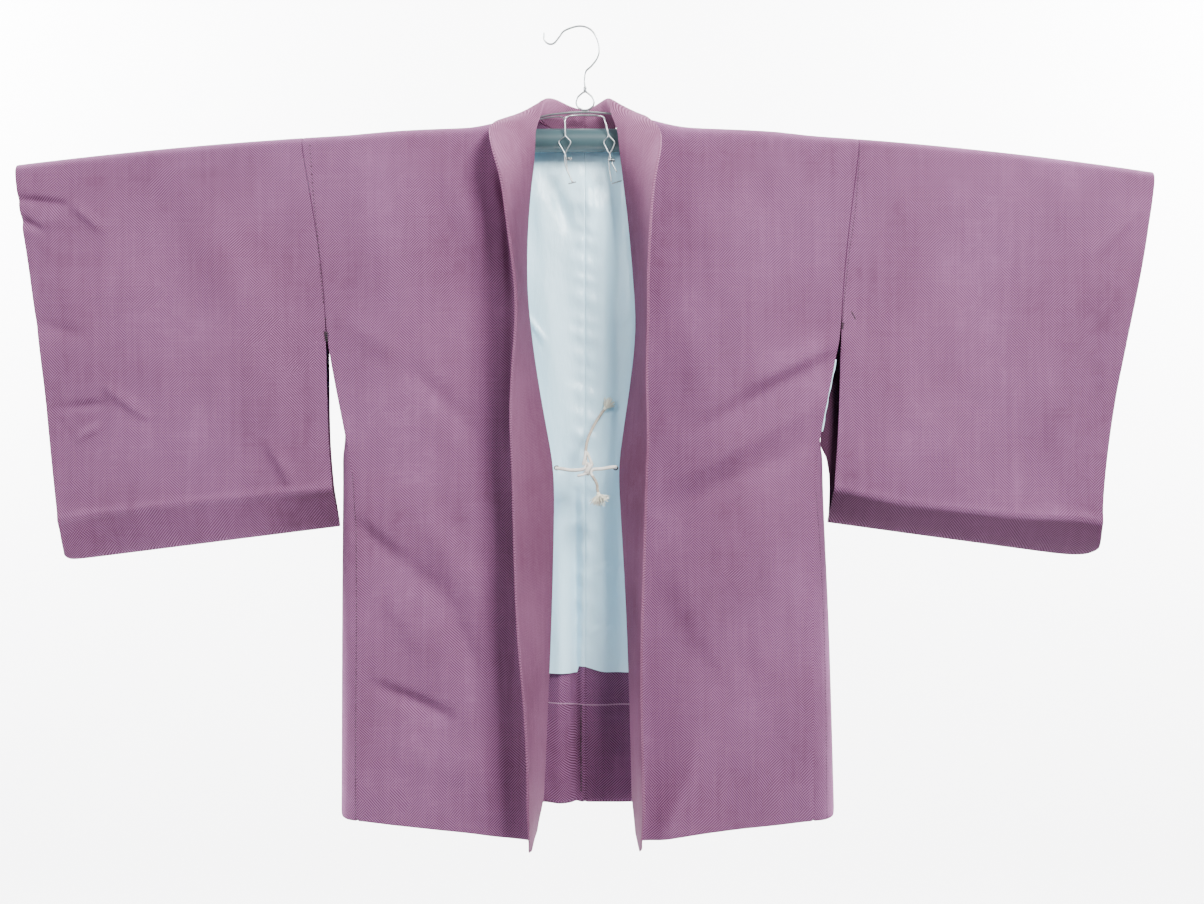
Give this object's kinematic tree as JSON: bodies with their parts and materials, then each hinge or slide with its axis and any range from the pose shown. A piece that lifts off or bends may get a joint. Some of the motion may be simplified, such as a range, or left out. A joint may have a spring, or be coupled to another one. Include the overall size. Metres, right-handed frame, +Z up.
{
  "type": "haori jacket on a kimono hanger",
  "caption": "Women's lined haori jacket hanging open-fronted on a telescopic kimono hanger, with a knotted tie cord and tassels.",
  "frame": {"origin": "underside of the hanger's hook, where a rail or a nail carries it", "axes": "+X along the shoulders to the viewer's right, the garment's front towards -Y, +Z up"},
  "size_m": [1.2692, 0.1461, 0.9101],
  "materials": {
    "cloth": "matte fine twill weave",
    "collar_cloth": "matte, smoother than the body",
    "satin": "satin",
    "cord": "braided cord",
    "tube": "semi-gloss grey-green",
    "wire": "bright chrome"
  },
  "bodies": {
    "root": {"body_left": "cloth", "body_right": "cloth", "sleeve_left": "cloth", "sleeve_right": "cloth", "gusset_left": "cloth", "gusset_right": "cloth", "facing_left": "cloth", "facing_right": "cloth", "collar": "collar_cloth", "lining_left": "satin", "lining_right": "satin", "loop_left": "cord", "loop_right": "cord", "tie_left": "cord", "tie_right": "cord", "tie_knot": "cord", "tie_end_up": "cord", "tie_end_down": "cord", "tassel_up": "cord", "tassel_down": "cord", "bar_centre": "tube", "bar_arm_left": "tube", "bar_arm_right": "tube", "yoke": "wire", "ring": "wire", "hook": "wire", "clip_carrier": "wire", "clip_left": "wire", "clip_right": "wire"}
  },
  "joints": []
}
